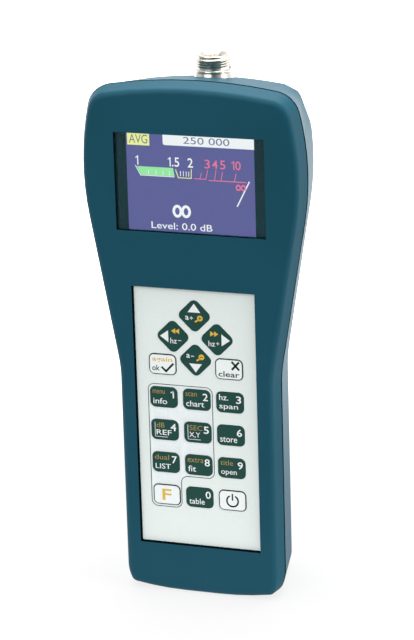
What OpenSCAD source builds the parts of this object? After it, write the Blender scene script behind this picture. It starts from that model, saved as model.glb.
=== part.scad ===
// Hand-held antenna analyzer. It stands upright: +Z runs up its length, its front faces -Y
// and the origin is at the middle of its underside. "Depth" is the distance behind the front face.

/* [Case outline] */
// Border of the front face below the keypad sheet
keypad_z = 22.8; // [22:0.2:24]
// Border from the keypad sheet up to the opening in front of the display
keypad_to_view = 25.4; // [24.5:0.1:27]
// Border from that opening up to the top edge
top_margin = 22.4; // [21:0.2:24]
// Border of the handle beside the keypad sheet
keypad_border = 9.5; // [9:0.25:11]
// Distance from the display's board out to each shoulder
shoulder_border = 15.2; // [14.8:0.1:17]
// Thickness from the front face to the back face
case_depth = 52; // [51:0.5:54]
// Angle of the flare between the handle and the shoulders
flare_angle = 9.85; // [8:0.05:12]
// Radius of the hollow curve where the flare begins
waist_r = 58; // [40:1:80]
// Radius of the shoulder curve
shoulder_r = 120; // [100:1:140]
// Distance from the top edge down to the widest place of the shoulders
shoulder_drop = 39.5; // [34.5:0.5:44]
// Radius of the top edge
top_r = 235; // [200:5:300]
// Radius of the two top corners
top_corner_r = 12; // [10:0.5:14]
// Width of the flat that the case stands on
foot_w = 16; // [12:1:20]
// Radius of the underside beside that flat
foot_r = 140; // [120:5:160]
// Radius of the two bottom corners
foot_corner_r = 4.3; // [3.5:0.1:6]
// Radius of the sides where they close in above those corners
foot_side_r = 18; // [14:0.5:22]
// Angle through which they close in
foot_turn = 25; // [18:1:30]

/* [Case shells] */
// Thickness of the side and back walls
wall = 2.4; // [2:0.1:2.6]
// Thickness of the front wall
face_wall = 3; // [2.9:0.1:3.4]
// Depth of the parting line
seam_depth = 8; // [7:0.25:8.5]
// Width of the dark parting line
seam_gap = 0.35; // [0.2:0.05:0.5]
// Thickness of the lip that locates the rear shell
lip_t = 1.2; // [1:0.1:1.4]
// Height of that lip
lip_h = 1.6; // [1.4:0.1:2.2]
// Draft angle of the front shell's sides
front_draft = 18; // [14:0.5:20]
// Rounding of the front edge
front_round = 3; // [2.4:0.1:3.2]
// Draft angle of the rear shell's sides
rear_draft = 12.5; // [11:0.5:13]
// Draft angle of the rear shell's top
rear_top_draft = 9.5; // [8:0.5:11]
// Rounding of the back edge
back_round = 14; // [12:0.5:14.5]

/* [Display] */
// Width of the picture area
picture_w = 57.6; // [56:0.2:60]
// Height of the picture area
picture_h = 43.2; // [40:0.2:45]
// Width of the dark band on each side of the picture
mask_side = 4.95; // [2:0.05:5.5]
// Width of the dark band above and below the picture
mask_edge = 0.1; // [0:0.1:2]
// Depth of the clear window's outer face
window_depth = 1.2; // [1:0.1:1.4]
// Thickness of the clear window
window_t = 1; // [0.8:0.1:1.2]

/* [Keypad] */
// Width of the keypad sheet
keypad_w = 55; // [54:0.5:56]
// Height of the keypad sheet
keypad_h = 118.5; // [116:0.5:120]
// Depth of the keypad sheet's face below the front face
keypad_recess = 1.6; // [1.2:0.1:1.8]
// Thickness of the keypad sheet
keypad_t = 0.6; // [0.5:0.1:0.8]
// Distance between neighbouring keys
key_pitch = 15.25; // [15:0.05:15.6]
// Distance from the sheet's upper edge down to the keys 1, 2 and 3
first_row_drop = 50.1; // [49:0.1:51]
// Width of a key
key_w = 12.2; // [11:0.1:12.6]
// Height of a key
key_h = 9.1; // [8.5:0.1:10]
// Corner radius of a key
key_r = 2.2; // [1:0.1:3]
// Distance from the sheet's upper edge down to the middle of the arrow keys
arrows_drop = 21.74; // [21:0.02:22.5]
// Distance from there to the middle of each arrow key
arrow_offset = 10.1; // [9.8:0.1:10.4]
// Side of an arrow key, which is a square on its point
arrow_side = 10.9; // [10:0.1:11.4]
// Gap between a key and the keypad sheet
key_gap = 0.3; // [0.3:0.05:0.4]
// How far a key stands out from the keypad sheet
key_proud = 0.25; // [0.1:0.05:0.4]
// Key travel
key_travel = 0.4; // [0.3:0.05:0.5]

/* [Connector] */
// Distance of the connector's axis from the back face
connector_back = 15; // [14:0.25:16]
// How far the connector stands out over the case's top edge
connector_out = 4.2; // [3.8:0.1:5]
// Diameter over the coupling thread
thread_d = 15.875; // [15.5:0.025:16]
// Pitch of the coupling thread
thread_pitch = 1.058; // [1:0.001:1.1]
// Diameter of the opening
socket_d = 8.7; // [8.4:0.1:9]

/* [Batteries] */
// Diameter of a cell
cell_d = 14.5; // [14:0.1:14.5]
// Length of a cell with its knob
cell_l = 50.5; // [49.5:0.1:50.5]
// Distance between neighbouring cells
cell_pitch = 14.9; // [14.7:0.1:15]
// Distance of the cells' axes from the back face
cell_back = 11.8; // [11.6:0.1:12.4]
// Height of the lower inside wall of the battery holder
bay_z = 32; // [31:0.5:33]
// Width of the ledge that the battery cover rests on
ledge_w = 1.5; // [1.2:0.1:1.8]
// Gap round the battery cover
cover_gap = 0.35; // [0.3:0.05:0.5]

/* [Hidden] */
$fn = 40;
front_y = -case_depth / 2;
snug = 0.02;
min_corner_r = 3;
board_t = 1.6;

keypad_top = keypad_z + keypad_h;
keypad_mid_z = keypad_z + keypad_h / 2;
first_row_z = keypad_top - first_row_drop;
arrows_z = keypad_top - arrows_drop;
view_w = picture_w + 2 * mask_side;
view_h = picture_h + 2 * mask_edge;
view_z = keypad_top + keypad_to_view + view_h / 2;
module_w = picture_w + 11.6;
module_h = picture_h + 6.8;
module_board_w = module_w + 1.6;
module_board_h = module_h + 10.4;

case_h = view_z + view_h / 2 + top_margin;
handle_w = keypad_w + 2 * keypad_border;
shoulder_w = module_board_w + 2 * shoulder_border;
shoulder_z = case_h - shoulder_drop;
shoulder_c = [shoulder_w / 2 - shoulder_r, shoulder_z];
top_c = [0, case_h - top_r];
// The straight flare touches both the waist arc and the shoulder arc.
flare_top = shoulder_c + shoulder_r * [cos(flare_angle), -sin(flare_angle)];
flare_run = flare_top[0] - handle_w / 2 - waist_r * (1 - cos(flare_angle));
waist_z = flare_top[1] - flare_run / tan(flare_angle) - waist_r * sin(flare_angle);
waist_c = [handle_w / 2 + waist_r, waist_z];

window_back = window_depth + window_t;
mask_back = window_back + 0.4;
panel_back = mask_back + 1.2;
light_back = panel_back + 3.2;
module_back = light_back + 0.5;
display_post_x = module_board_w / 2 - 3.5;
display_post_z = module_board_h / 2 - 2.8;

ledge_depth = keypad_recess + keypad_t;
flange_depth = ledge_depth + 0.3;
flange_t = 0.7;
dome_h = key_travel + 0.5;
stem_depth = flange_depth + flange_t + 1.4;
circuit_depth = stem_depth + 0.05 + dome_h;
circuit_back = circuit_depth + board_t;
circuit_w = keypad_w + 9.8;
circuit_h = keypad_h + 9.5;
keypad_post_x = circuit_w / 2 - 2.6;
keypad_post_z = circuit_h / 2 - 3;

connector_depth = case_depth - connector_back;
connector_top = case_h + connector_out;
land_z = connector_top - 12.4;

main_depth = connector_depth - 13;
main_back = main_depth + board_t;
main_w = handle_w - 14;
main_high = land_z - 5.5;
main_low = main_high - 110;
main_mid = (main_low + main_high) / 2;
main_post = [main_w / 2 - 4, 51];
shield_x = main_post[0] - 4;
shield_z = [main_mid - 42, main_mid + 26];
shield_h = 7;
shield_t = 0.4;

pad_t = 4;
flange_d = thread_d + 2.1;
neck_d = thread_d - 1.6;
bulkhead_d = 14;
cell_depth = case_depth - cell_back;
cell_room = 0.3;
cells_x = cell_pitch + (cell_d + cell_room) / 2;
holder_depth = cell_depth - cell_d / 2 - 1.35;
bay_h = cell_l + 5.5;
plate_t = 0.4;
plate_reach = 4.5;
spring_h = bay_h - 2 * plate_t - cell_l;
holder_wall = 2;
holder_w = 2 * (cells_x + 1.5);
holder_top = bay_z + bay_h + holder_wall;
holder_ear_z = [bay_z - 8, bay_z + bay_h + 8];
cover_z = bay_z + bay_h / 2;
cover_w = 2 * (cells_x + ledge_w);
cover_h = bay_h + 4 + 2 * ledge_w;
cover_seat = case_depth - 4;
cover_ledge_t = 1.6;
usb_depth = main_depth + 0.6;
usb_w = 12;
usb_t = 10.9;
usb_l = 16.4;
usb_z = 1.2;
usb_board_depth = usb_depth + usb_t / 2;

// Case screws: x, z of the right-hand one of each pair
case_screw_places = [
    [module_board_w / 2 + 4, shoulder_z + 10],
    [handle_w / 2 - 2.5, view_z - module_board_h / 2 - 4.7],
    [handle_w / 2 - 13, 12]];
screw_seat = case_depth - 14;
boss_depth = screw_seat - 8;
case_screw_l = 20;

// Name, x, z, and whether it is an arrow key
KEYS = concat(
    [["key_up", 0, arrows_z + arrow_offset, true],
     ["key_left", -arrow_offset, arrows_z, true],
     ["key_right", arrow_offset, arrows_z, true],
     ["key_down", 0, arrows_z - arrow_offset, true],
     ["key_ok", -key_pitch, first_row_z + key_pitch, false],
     ["key_cancel", key_pitch, first_row_z + key_pitch, false]],
    [for (n = [1:9]) [str("key_", n), ((n - 1) % 3 - 1) * key_pitch,
        first_row_z - floor((n - 1) / 3) * key_pitch, false]],
    [["key_f", -key_pitch, first_row_z - 3 * key_pitch, false],
     ["key_0", 0, first_row_z - 3 * key_pitch, false],
     ["key_power", key_pitch, first_row_z - 3 * key_pitch, false]]);

// ---- Outline of the case and solids lofted from it ----

function arc(c, r, from, to, steps) =
    [for (i = [0:steps]) let (a = from + (to - from) * i / steps) c + r * [cos(a), sin(a)]];

function rest(list) = [for (i = [1:len(list) - 1]) list[i]];

// Where two circles meet, on the right of the line from the first centre to the second
function meet(c1, r1, c2, r2) =
    let (v = c2 - c1, far = norm(v), along = (r1 * r1 - r2 * r2 + far * far) / (2 * far))
    c1 + along * v / far + sqrt(r1 * r1 - along * along) * [v[1], -v[0]] / far;

// The outline as a ring of points (x, z), moved inwards by an inset
function outline(inset) =
    let (r1 = max(foot_corner_r - inset, min_corner_r),
        r3 = max(foot_side_r - inset, min_corner_r + 0.2),
        turn = (r3 - r1) * [cos(foot_turn), -sin(foot_turn)],
        x1 = handle_w / 2 - inset - r3 + turn[0],
        foot_c = [foot_w / 2, foot_r],
        c1 = [x1, foot_r - sqrt(pow(foot_r - inset - r1, 2) - pow(x1 - foot_c[0], 2))],
        a1 = atan2(c1[1] - foot_c[1], c1[0] - foot_c[0]),
        r2 = max(top_corner_r - inset, min_corner_r),
        c2 = meet(top_c, top_r - inset - r2, shoulder_c, shoulder_r - inset - r2),
        a2 = atan2(c2[1] - shoulder_c[1], c2[0] - shoulder_c[0]),
        a3 = atan2(c2[1] - top_c[1], c2[0] - top_c[0]),
        right = concat(
            arc(foot_c, foot_r - inset, -90, a1, 3),
            rest(arc(c1, r1, a1, -foot_turn, 5)),
            rest(arc(c1 - turn, r3, -foot_turn, 0, 4)),
            arc(waist_c, waist_r + inset, 180, 180 - flare_angle, 4),
            arc(shoulder_c, shoulder_r - inset, -flare_angle, a2, 8),
            rest(arc(c2, r2, a2, a3, 8)),
            rest(arc(top_c, top_r - inset, a3, 90, 6))))
    concat(right, [for (i = [len(right) - 2:-1:0]) [-right[i][0], right[i][1]]]);

// A ring of the case at a depth. Draft leaves the underside flat, so that the case stands, and
// the top can be raised where it leans less than the sides.
function ring(inset, depth, draft, raise = 0) =
    [for (p = outline(inset)) let (t = (p[1] - inset) / (case_h - 2 * inset))
        [p[0], front_y + depth, p[1] - draft * (1 - t) + raise * t]];

// Draft inset of each shell at a depth
function front_lean(depth) = (seam_depth - depth) * tan(front_draft);
function rear_lean(depth) = max(depth - seam_depth - seam_gap, 0) * tan(rear_draft);

// The rounded back edge: insets and depths for a radius about its fixed middle
back_c = case_depth - back_round;
back_lean = rear_lean(back_c + back_round * sin(rear_draft));
back_inset = back_lean + back_round * cos(rear_draft);
back_raise = back_lean * (1 - tan(rear_top_draft) / tan(rear_draft));
function back_rings(r, steps) =
    [for (i = [0:steps]) let (a = rear_draft + (90 - rear_draft) * i / steps)
        ring(back_inset - r * cos(a), back_c + r * sin(a), back_lean, back_raise)];

// The rounded front edge
front_turn = front_round * (1 - sin(front_draft));
front_inset = front_lean(front_turn) + front_round * cos(front_draft);
function front_rings(steps) =
    [for (i = [0:steps]) let (a = 90 - (90 - front_draft) * i / steps)
        ring(front_inset - front_round * cos(a), front_round * (1 - sin(a)), front_lean(front_turn))];

function reversed(list) = [for (i = [len(list) - 1:-1:0]) list[i]];

// A flat end of a loft, as level bands from the first points of the ring to the last
function bands(n, start) =
    [for (i = [0:ceil(n / 2) - 2]) let (a = start + i, d = start + n - 1 - i)
        a + 1 == d - 1 ? [a, a + 1, d] : [a, a + 1, d - 1, d]];

module loft(rings) {
    n = len(rings[0]);
    m = len(rings);
    polyhedron(
        points = [for (r = rings) each r],
        faces = concat(
            [for (f = bands(n, 0)) reversed(f)],
            [for (j = [0:m - 2], i = [0:n - 1]) let (a = j * n, b = a + n, k = (i + 1) % n)
                each [[a + i, a + k, b + k], [a + i, b + k, b + i]]],
            bands(n, (m - 1) * n)),
        convexity = 12);
}

// The rear shell as a solid out to the middle of its wall, which trims what stands on that wall
module mid_wall_block() {
    half = wall / 2;
    loft(concat([ring(half, seam_depth + lip_h + 2, 0)], back_rings(back_round - half, 8)));
}

// ---- Small helpers ----

// Extrudes a front-view shape between two depths
module slab(from, to) {
    translate([0, front_y + to, 0]) rotate([90, 0, 0]) linear_extrude(to - from) children();
}

// A round bar along the depth
module bar(x, z, d, from, to) {
    translate([x, front_y + to, z]) rotate([90, 0, 0]) cylinder(d = d, h = to - from);
}

// A box given by its limits in x, depth and z
module block(x0, x1, from, to, z0, z1) {
    translate([x0, front_y + from, z0]) cube([x1 - x0, to - from, z1 - z0]);
}

module round_rect(w, h, r) {
    square([w - 2 * r, h], center = true);
    square([w, h - 2 * r], center = true);
    for (sx = [-1, 1], sz = [-1, 1])
        translate([sx * (w / 2 - r), sz * (h / 2 - r)])
            circle(r);
}

// Extrudes a side-view shape, given in depth and z, across x
module side_strip(x0, x1) {
    translate([x0, front_y, 0]) rotate([90, 0, 90]) linear_extrude(x1 - x0) children();
}

// ---- Case ----

module front_shell() {
    color("#1b4b5c") difference() {
        union() {
            loft(concat(
                front_rings(5),
                [ring(0, seam_depth, 0),
                 ring(lip_t, seam_depth, 0),
                 ring(lip_t, seam_depth + lip_h, 0),
                 ring(wall, seam_depth + lip_h, 0),
                 ring(wall, seam_depth, 0),
                 ring(wall + front_lean(face_wall + 1), face_wall + 1, front_lean(face_wall + 1)),
                 ring(wall + front_lean(face_wall) + 1, face_wall, front_lean(face_wall))]));
            for (p = case_screw_places, s = [-1, 1])
                bar(s * p[0], p[1], 7, face_wall - 1, boss_depth);
            for (s = [-1, 1], t = [-1, 1]) {
                bar(s * keypad_post_x, keypad_mid_z + t * keypad_post_z, 4.6, face_wall - 1, circuit_depth);
                bar(s * display_post_x, view_z + t * display_post_z, 4.6, face_wall - 1, module_back);
            }
        }
        slab(-1, face_wall + 1) translate([0, view_z]) square([view_w, view_h], center = true);
        slab(window_depth, face_wall + 0.5)
            translate([0, view_z]) square([module_w + 1, module_h + 1], center = true);
        slab(-1, ledge_depth)
            translate([0, keypad_mid_z]) square([keypad_w + 1, keypad_h + 1], center = true);
        slab(ledge_depth - 0.5, face_wall + 1)
            translate([0, keypad_mid_z]) square([keypad_w - 3, keypad_h - 3.5], center = true);
        for (p = case_screw_places, s = [-1, 1])
            bar(s * p[0], p[1], 3 + 2 * snug, screw_seat - case_screw_l - 3, boss_depth + 1);
        for (s = [-1, 1], t = [-1, 1]) {
            bar(s * keypad_post_x, keypad_mid_z + t * keypad_post_z, 2, face_wall, circuit_depth + 1);
            bar(s * display_post_x, view_z + t * display_post_z, 2, face_wall, module_back + 1);
        }
    }
}

module rear_shell() {
    rim = seam_depth + seam_gap;
    rebate = seam_depth + lip_h;
    gap = lip_t - 0.15;
    color("#1b4b5c") difference() {
        union() {
            loft(concat(
                reversed(back_rings(back_round - wall, 8)),
                [ring(wall + 0.15, rebate, 0),
                 ring(gap, rebate, 0),
                 ring(gap, rim, 0),
                 ring(0, rim, 0)],
                back_rings(back_round, 8)));
            intersection() {
                mid_wall_block();
                union() {
                    for (p = case_screw_places, s = [-1, 1])
                        bar(s * p[0], p[1], 8, boss_depth, case_depth);
                    for (s = [-1, 1]) {
                        for (t = [-1, 1])
                            bar(s * main_post[0], main_mid + t * main_post[1], 6, main_back, case_depth - 1);
                        bar(s * 10, 11, 6, usb_board_depth + board_t, case_depth - 1);
                    }
                    for (z = holder_ear_z)
                        bar(0, z, 6, holder_depth + 2, case_depth - 1);
                    block(-14, 14, connector_depth - 12, case_depth, land_z - pad_t, land_z + 3);
                    slab(cover_seat - cover_ledge_t, case_depth - wall + 0.5) translate([0, cover_z])
                        square([cover_w + 4, cover_h + 4], center = true);
                }
            }
        }
        for (p = case_screw_places, s = [-1, 1]) {
            bar(s * p[0], p[1], 3.2, boss_depth - 1, case_depth);
            bar(s * p[0], p[1], 6.2, screw_seat, case_depth + 1);
        }
        for (s = [-1, 1]) {
            for (t = [-1, 1])
                bar(s * main_post[0], main_mid + t * main_post[1], 2, main_back - 1, main_back + 8);
            bar(s * 10, 11, 2, usb_board_depth, usb_board_depth + 8);
        }
        for (z = holder_ear_z)
            bar(0, z, 2, holder_depth, holder_depth + 9);
        translate([0, front_y + connector_depth, land_z])
            cylinder(d = flange_d + 0.8, h = 20);
        translate([0, front_y + connector_depth, land_z - pad_t - 1])
            cylinder(d = bulkhead_d + 0.3, h = 20);
        block(-usb_w / 2 - 0.3, usb_w / 2 + 0.3, usb_depth - usb_t / 2 - 0.3,
            usb_depth + usb_t / 2 + 0.3, -1, wall + 1);
        slab(cover_seat, case_depth + 1) translate([0, cover_z])
            round_rect(cover_w + 2 * cover_gap, cover_h + 2 * cover_gap, 3 + cover_gap);
        slab(cover_seat - cover_ledge_t - 1, case_depth) translate([0, cover_z])
            square([cover_w - 2 * ledge_w, cover_h - 2 * ledge_w], center = true);
    }
}

// Cross-section of the handle's back, which is straight over the battery cover's length
module handle_back() {
    flat = handle_w / 2 - back_inset;
    translate([-flat, front_y + back_c]) square([2 * flat, back_round]);
    for (s = [-1, 1])
        translate([s * flat, front_y + back_c]) circle(back_round, $fn = 120);
}

// Hollow lid of the battery bay, with a rim that drops into the opening and three grip grooves
module battery_cover() {
    rim_w = cover_w - 2 * ledge_w - 2 * cover_gap;
    rim_h = cover_h - 2 * ledge_w - 2 * cover_gap;
    color("#1b4b5c") difference() {
        union() {
            intersection() {
                slab(cover_seat + 0.3, case_depth) translate([0, cover_z]) round_rect(cover_w, cover_h, 3);
                translate([0, 0, cover_z - cover_h]) linear_extrude(2 * cover_h) handle_back();
            }
            slab(cover_seat - cover_ledge_t + 0.1, cover_seat + 0.4)
                translate([0, cover_z]) square([rim_w, rim_h], center = true);
        }
        slab(cover_seat - cover_ledge_t - 1, case_depth - 2.2)
            translate([0, cover_z]) square([rim_w - 2.4, rim_h - 2.4], center = true);
        for (i = [0:2])
            block(-8, 8, case_depth - 0.6, case_depth + 1,
                cover_z + cover_h / 2 - 7 - 2.5 * i, cover_z + cover_h / 2 - 6 - 2.5 * i);
    }
}

module cross_screw(d, l, head_d, head_h) {
    difference() {
        union() {
            cylinder(d = d, h = l);
            translate([0, 0, -head_h]) cylinder(d = head_d, h = head_h);
        }
        for (a = [0, 90])
            rotate(a) translate([-head_d * 0.3, -head_d * 0.07, -head_h - 1])
                cube([head_d * 0.6, head_d * 0.14, 1 + head_h * 0.6]);
    }
}

module case_screws() {
    color("#8d8f8e") for (p = case_screw_places, s = [-1, 1])
        translate([s * p[0], front_y + screw_seat, p[1]]) rotate([90, 0, 0])
            cross_screw(3, case_screw_l, 5.6, 2.4);
}

// Small screws of the boards and of the battery holder, driven from the back or from the front
module board_screws() {
    color("#b9bab5") {
        for (s = [-1, 1], t = [-1, 1]) {
            board_screw(s * keypad_post_x, keypad_mid_z + t * keypad_post_z, circuit_back, 90);
            board_screw(s * display_post_x, view_z + t * display_post_z, module_back + board_t, 90);
            board_screw(s * main_post[0], main_mid + t * main_post[1], main_depth, -90);
        }
        for (s = [-1, 1])
            board_screw(s * 10, 11, usb_board_depth, -90);
        for (z = holder_ear_z)
            board_screw(0, z, holder_depth, -90);
    }
}

module board_screw(x, z, depth, turn) {
    translate([x, front_y + depth, z]) rotate([turn, 0, 0])
        cross_screw(2 - 2 * snug, 4, 3.6, 1.3);
}

// ---- Display ----

module display_window() {
    color("#223338") slab(window_depth, window_back)
        translate([0, view_z]) square([module_w + 0.8, module_h + 0.8], center = true);
}

module display_gasket() {
    color("#101416") slab(window_back, mask_back) translate([0, view_z]) difference() {
        square([module_w, module_h], center = true);
        square([picture_w, picture_h], center = true);
    }
}

module lcd_panel() {
    color("#63649b") slab(mask_back, panel_back)
        translate([0, view_z]) square([module_w - 1, module_h - 1], center = true);
}

module lcd_backlight() {
    color("#e9ecee") slab(panel_back, light_back)
        translate([0, view_z]) square([module_w - 1, module_h - 1], center = true);
}

module lcd_frame() {
    color("#c3c7c8") difference() {
        slab(mask_back, module_back)
            translate([0, view_z]) square([module_w, module_h], center = true);
        slab(mask_back - 1, light_back)
            translate([0, view_z]) square([module_w - 0.9, module_h - 0.9], center = true);
    }
}

// Flexible circuit from the display's lower edge round to the back of its board
module lcd_flex() {
    low = view_z - module_board_h / 2;
    near = module_back - 0.4;
    far = module_back + board_t + 0.4;
    mid = (near + far) / 2;
    outer = (far - near) / 2;
    color("#b5762c") side_strip(-12, 12) {
        translate([near, low]) square([0.2, view_z - module_h / 2 - low]);
        translate([far - 0.2, low]) square([0.2, 8]);
        difference() {
            translate([mid, low]) circle(outer);
            translate([mid, low]) circle(outer - 0.2);
            translate([mid - outer, low]) square(2 * outer);
        }
    }
}

module display_board() {
    back = module_back + board_t;
    color("#1f6b45") difference() {
        union() {
            slab(module_back, back)
                translate([0, view_z]) square([module_board_w, module_board_h], center = true);
            block(-14, 14, back, back + 1.4, view_z - module_board_h / 2 + 3.5, view_z - module_board_h / 2 + 9);
        }
        for (s = [-1, 1], t = [-1, 1])
            bar(s * display_post_x, view_z + t * display_post_z, 2.2, module_back - 1, back + 1);
        side_strip(-12.2, 12.2)
            translate([back + 0.1, view_z - module_board_h / 2]) square([0.4, 8.2]);
    }
}

// ---- Keypad ----

module key_outline(k, grow) {
    translate([k[1], k[2]]) {
        if (k[3])
            rotate(45) round_rect(arrow_side + 2 * grow, arrow_side + 2 * grow, key_r + grow);
        else
            round_rect(key_w + 2 * grow, key_h + 2 * grow, key_r + grow);
    }
}

module keypad_overlay() {
    color("#e3ece9") slab(keypad_recess, ledge_depth) difference() {
        translate([0, keypad_mid_z]) square([keypad_w, keypad_h], center = true);
        for (k = KEYS) key_outline(k, key_gap);
    }
}

module key(k) {
    white = k[0] == "key_ok" || k[0] == "key_cancel" || k[0] == "key_f" || k[0] == "key_power";
    color(white ? "#f2f5f3" : "#22504a") {
        slab(keypad_recess - key_proud, flange_depth) key_outline(k, 0);
        slab(flange_depth, flange_depth + flange_t) key_outline(k, 0.8);
        bar(k[1], k[2], 4, flange_depth + flange_t, stem_depth);
    }
}

// One snap dome of sprung steel under each key
module snap_domes() {
    r = 3.8;
    ball = (r * r + dome_h * dome_h) / (2 * dome_h);
    color("#c9ccca") for (k = KEYS)
        translate([k[1], front_y + circuit_depth, k[2]]) rotate([90, 0, 0]) rotate_extrude()
            intersection() {
                square([r, dome_h]);
                translate([0, dome_h - ball]) difference() {
                    circle(ball, $fn = 160);
                    circle(ball - 0.2, $fn = 160);
                }
            }
}

module keypad_circuit() {
    color("#1f6b45") slab(circuit_depth, circuit_back) translate([0, keypad_mid_z]) difference() {
        square([circuit_w, circuit_h], center = true);
        for (s = [-1, 1], t = [-1, 1])
            translate([s * keypad_post_x, t * keypad_post_z]) circle(d = 2.2);
    }
}

// Ribbon that joins the keypad circuit to the display board
module keypad_tail() {
    low = keypad_mid_z + circuit_h / 2;
    high = view_z - module_board_h / 2;
    color("#b5762c") side_strip(15, 26)
        polygon([[circuit_back, low - 10], [circuit_back, low], [module_back - 0.3, low + 5],
            [module_back - 0.3, high + 4.5], [module_back, high + 4.5], [module_back, low + 5],
            [circuit_back + 0.3, low], [circuit_back + 0.3, low - 10]]);
}

// ---- Electronics ----

module main_board() {
    color("#1f6b45") slab(main_depth, main_back) translate([0, main_mid]) difference() {
        square([main_w, main_high - main_low], center = true);
        for (s = [-1, 1], t = [-1, 1])
            translate([s * main_post[0], t * main_post[1]]) circle(d = 2.2);
    }
}

// Processor, memory and power parts on the front side of the main board
module main_chips() {
    color("#202326") {
        block(-10, 10, main_depth - 1.4, main_depth, main_mid - 7, main_mid + 13);
        block(-22, -13, main_depth - 1.2, main_depth, main_mid - 1, main_mid + 9);
        block(14, 24, main_depth - 2.6, main_depth, main_mid - 7, main_mid + 3);
        block(-8, 2, main_depth - 1.2, main_depth, main_mid - 29, main_mid - 21);
        for (i = [0:2])
            bar(-22 + 8 * i, main_low + 14, 6.3, main_depth - 7, main_depth);
    }
}

module rf_shield() {
    color("#c3c7c8") difference() {
        block(-shield_x, shield_x, main_back, main_back + shield_h, shield_z[0], shield_z[1]);
        block(-shield_x + shield_t, shield_x - shield_t, main_back - 1, main_back + shield_h - shield_t,
            shield_z[0] + shield_t, shield_z[1] - shield_t);
        for (i = [-3:3], j = [0:2])
            bar(i * 5, shield_z[1] - 18 - j * 5, 1.6, main_back + shield_h - 1, main_back + shield_h + 1);
    }
}

// Stacked pin header between the display board and the main board
module board_header() {
    color("#1b1d1f") block(-13, 13, module_back + board_t, main_depth, view_z + 20.6, view_z + 25.6);
}

module buzzer() {
    color("#1b1d1f") difference() {
        bar(18, main_low + 20, 12, main_depth - 6, main_depth);
        bar(18, main_low + 20, 2, main_depth - 7, main_depth - 4);
    }
}

// ---- Antenna connector ----

module at_connector(z) {
    translate([0, front_y + connector_depth, z]) children();
}

// Nickel-plated body: bulkhead thread, flange, neck, coupling thread and plain end
module n_connector_body() {
    rim = 1.3;
    crests = 4;
    root = thread_d - 1.2;
    thread_top = connector_top - rim;
    thread_low = thread_top - crests * thread_pitch;
    color("#c9c5bb") difference() {
        at_connector(0) rotate_extrude() polygon(concat(
            [[0, land_z - 12.5], [bulkhead_d / 2, land_z - 12.5], [bulkhead_d / 2, land_z],
             [flange_d / 2, land_z], [flange_d / 2, land_z + 2.2], [flange_d / 2 - 0.5, land_z + 2.7],
             [neck_d / 2, land_z + 2.7], [neck_d / 2, thread_low - 0.4]],
            [for (i = [0:crests - 1], e = [[0.12, 0], [0.4, 1], [0.6, 1], [0.88, 0]])
                [root / 2 + e[1] * (thread_d - root) / 2, thread_low + (i + e[0]) * thread_pitch]],
            [[root / 2, thread_top], [root / 2, connector_top - 0.3], [root / 2 - 0.3, connector_top],
             [0, connector_top]]));
        at_connector(land_z + 1.5) cylinder(d = socket_d, h = 20);
        at_connector(land_z - 13) cylinder(d = 8, h = 20);
        at_connector(connector_top - 1.5) cylinder(d1 = socket_d, d2 = socket_d + 3.4, h = 1.5001);
    }
}

module n_connector_insulator() {
    color("#f4f4ef") difference() {
        at_connector(land_z - 12.5) cylinder(d = 8 - 2 * snug, h = 14);
        at_connector(land_z - 13) cylinder(d = 3 + 2 * snug, h = 20);
    }
}

module n_connector_contact() {
    color("#d9b45a") difference() {
        at_connector(land_z - 12.1) cylinder(d = 3, h = 19);
        at_connector(land_z + 2.9) cylinder(d = 1.7, h = 5);
        at_connector(land_z + 3.9) for (a = [0, 90])
            rotate(a) translate([-2, -0.15, 0]) cube([4, 0.3, 5]);
    }
}

module n_connector_nut() {
    color("#c9c5bb") difference() {
        at_connector(land_z - pad_t - 3.8) cylinder(d = 17 / cos(30), h = 3, $fn = 6);
        at_connector(land_z - pad_t - 5) cylinder(d = bulkhead_d + 2 * snug, h = 6);
    }
}

module n_connector_washer() {
    color("#b9bab5") difference() {
        at_connector(land_z - pad_t - 0.8) cylinder(d = 19, h = 0.8);
        at_connector(land_z - pad_t - 2) cylinder(d = bulkhead_d + 0.3, h = 4);
    }
}

// Stiff coaxial cable from the connector to the main board
module coax_jumper() {
    bend = 5;
    top = land_z - 12.5;
    low = top - 13;
    color("#a9713f") {
        at_connector(top - 4) cylinder(d = 8, h = 4);
        at_connector(low + bend) cylinder(d = 2.2, h = top - low - bend);
        at_connector(low + bend) translate([0, -bend, 0]) rotate([90, 0, 90])
            rotate([0, 0, -90]) rotate_extrude(angle = 90) translate([bend, 0]) circle(d = 2.2);
        bar(0, low, 2.2, main_back, connector_depth - bend);
        bar(0, low, 5, main_back, main_back + 3);
    }
}

// ---- USB inlet ----

module usb_board() {
    color("#1f6b45") slab(usb_board_depth, usb_board_depth + board_t) difference() {
        translate([-14, 3.2]) square([28, 16.3]);
        for (s = [-1, 1])
            translate([s * 10, 11]) circle(d = 2.2);
    }
}

module usb_socket() {
    x = usb_w / 2;
    t = usb_t / 2;
    color("#c3c7c8") difference() {
        block(-x, x, usb_depth - t, usb_depth + t, usb_z, usb_z + usb_l);
        block(-4.25, 4.25, usb_depth - 3.9, usb_depth + 3.9, usb_z - 1, usb_z + 9);
    }
}

module usb_insert() {
    color("#f1f1ec") block(-2.8, 2.8, usb_depth - 1.6, usb_depth + 1.6, usb_z + 0.6, usb_z + 9);
}

// Ribbon from the USB board past the batteries to the main board
module usb_ribbon() {
    near = usb_board_depth;
    foot = usb_z + 13.8;
    color("#c8cbcd") side_strip(10, 13.6)
        polygon([[near, foot], [near, holder_top + 6], [main_back + 0.4, main_low - 6],
            [main_back + 0.4, main_low + 6], [main_back, main_low + 6], [main_back, main_low - 6.2],
            [near - 0.4, holder_top + 5.8], [near - 0.4, foot]]);
}

// ---- Batteries ----

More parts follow.
